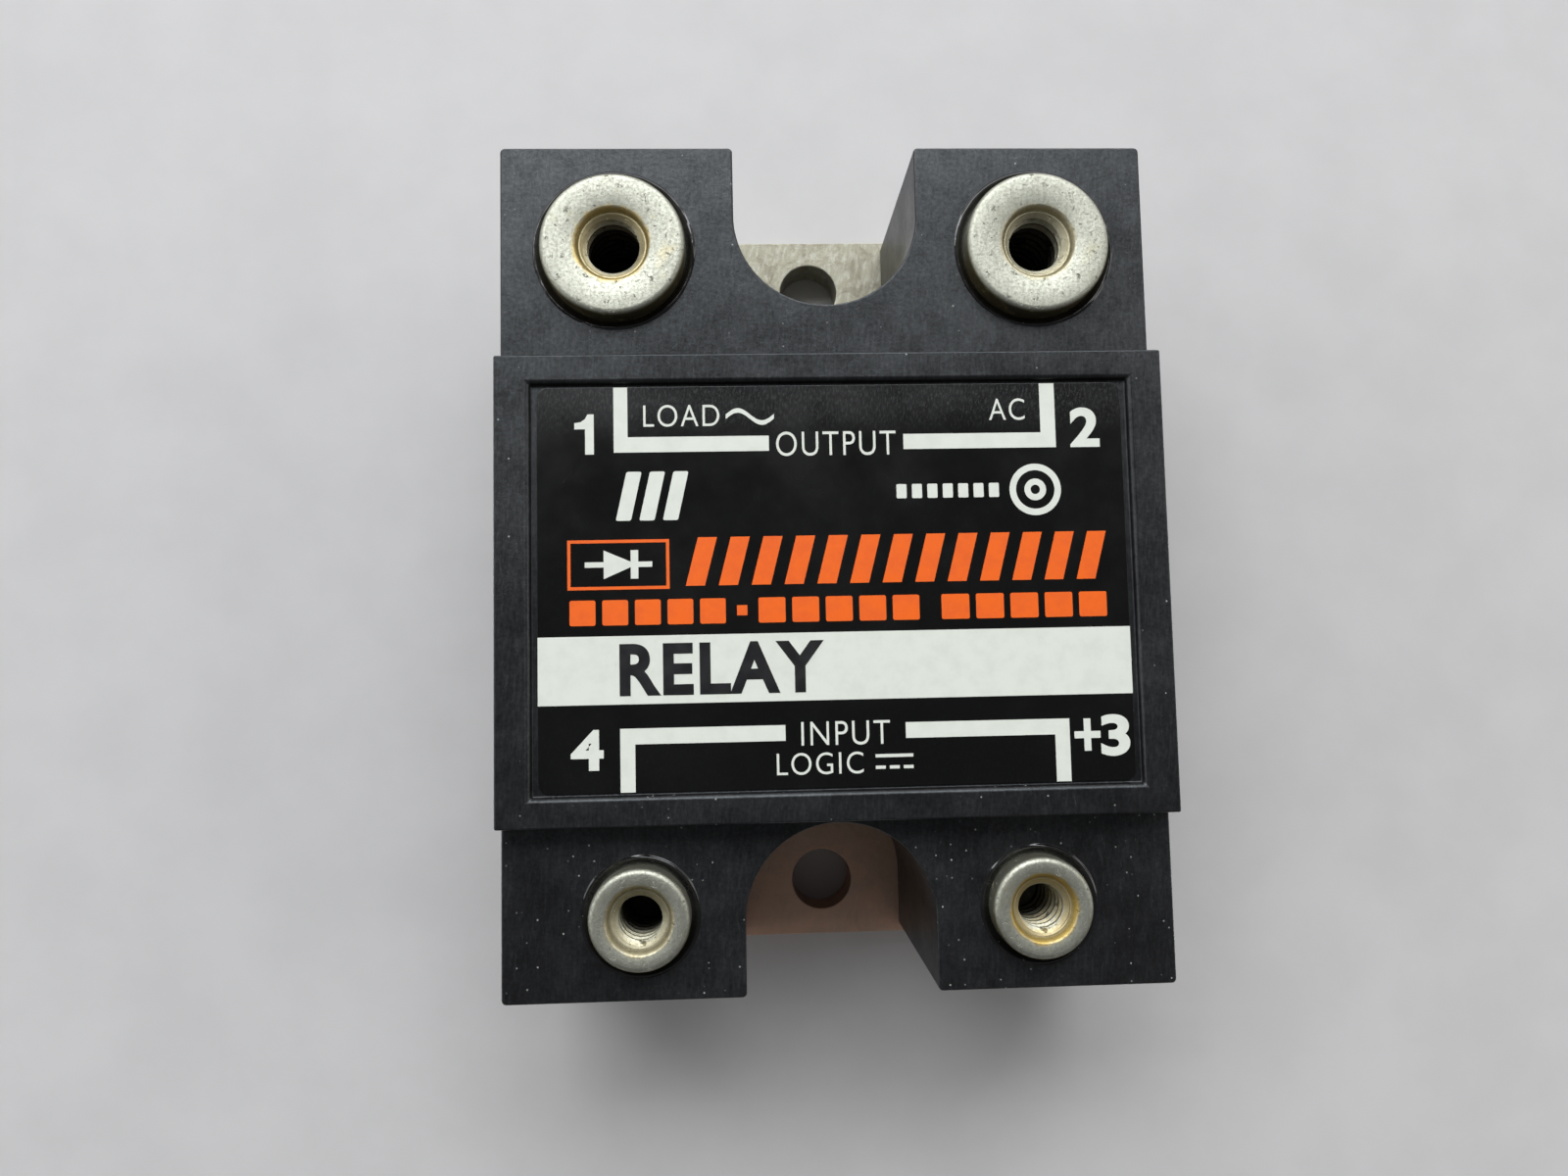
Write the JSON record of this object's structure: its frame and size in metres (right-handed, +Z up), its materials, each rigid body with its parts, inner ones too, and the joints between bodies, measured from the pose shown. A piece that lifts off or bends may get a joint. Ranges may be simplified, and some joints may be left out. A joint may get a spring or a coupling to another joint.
{
  "type": "solid state relay",
  "caption": "Panel-mount relay block: black moulded shell with U-shaped screw notches on a flat metal plate, potted round four threaded terminal posts.",
  "frame": {"origin": "middle of the base plate's underside, midway between the two mounting holes", "axes": "+Z up out of the plate towards the terminals, +Y towards the output end, +X to the right when seen from above with the output end away"},
  "size_m": [0.0436, 0.056, 0.0223],
  "materials": {
    "plate_metal": "plated plate, warm satin grey with faint mill lines",
    "housing_plastic": "charcoal black moulded thermoset, semi-matte, lightly scuffed",
    "label_film": "satin black printed film",
    "potting_epoxy": "glossy black epoxy",
    "post_plating": "dull zinc-grey plating with mottled tarnish",
    "alumina": "fired matt white ceramic",
    "copper": "bare rolled copper",
    "silicon": "polished silicon with a metallised top",
    "tinned_wire": "tinned copper wire",
    "board_laminate": "green lacquered glass-epoxy laminate",
    "white_package": "off-white moulded package",
    "film_capacitor_case": "red dipped box",
    "resistor_brown": "brown lacquered body with plain bands",
    "resistor_tan": "tan lacquered body with plain bands",
    "black_package": "black moulded epoxy",
    "glass_diode": "orange glass tube with a dark cathode band",
    "disc_ceramic": "dipped ochre ceramic disc",
    "solder": "bright solder"
  },
  "bodies": {
    "root": {"base_plate": "plate_metal", "housing": "housing_plastic", "label": "label_film", "potting_compound": "potting_epoxy", "output_terminal_1": "post_plating", "output_terminal_2": "post_plating", "input_terminal_3": "post_plating", "input_terminal_4": "post_plating", "ceramic_substrate": "alumina", "copper_pads": "copper", "thyristor_die_1": "silicon", "thyristor_die_2": "silicon", "cathode_clip_1": "copper", "cathode_clip_2": "copper", "gate_leads": "tinned_wire", "output_strap_1": "copper", "output_strap_2": "copper", "control_board": "board_laminate", "optocoupler": "white_package", "snubber_capacitor": "film_capacitor_case", "snubber_resistor": "resistor_brown", "gate_resistors": "resistor_tan", "bias_resistors": "resistor_tan", "input_resistor": "resistor_brown", "input_diode": "black_package", "bridge_diodes": "glass_diode", "filter_capacitor": "disc_ceramic", "limiter_transistor": "black_package", "trigger_thyristor": "black_package", "solder_joints": "solder"}
  },
  "joints": []
}
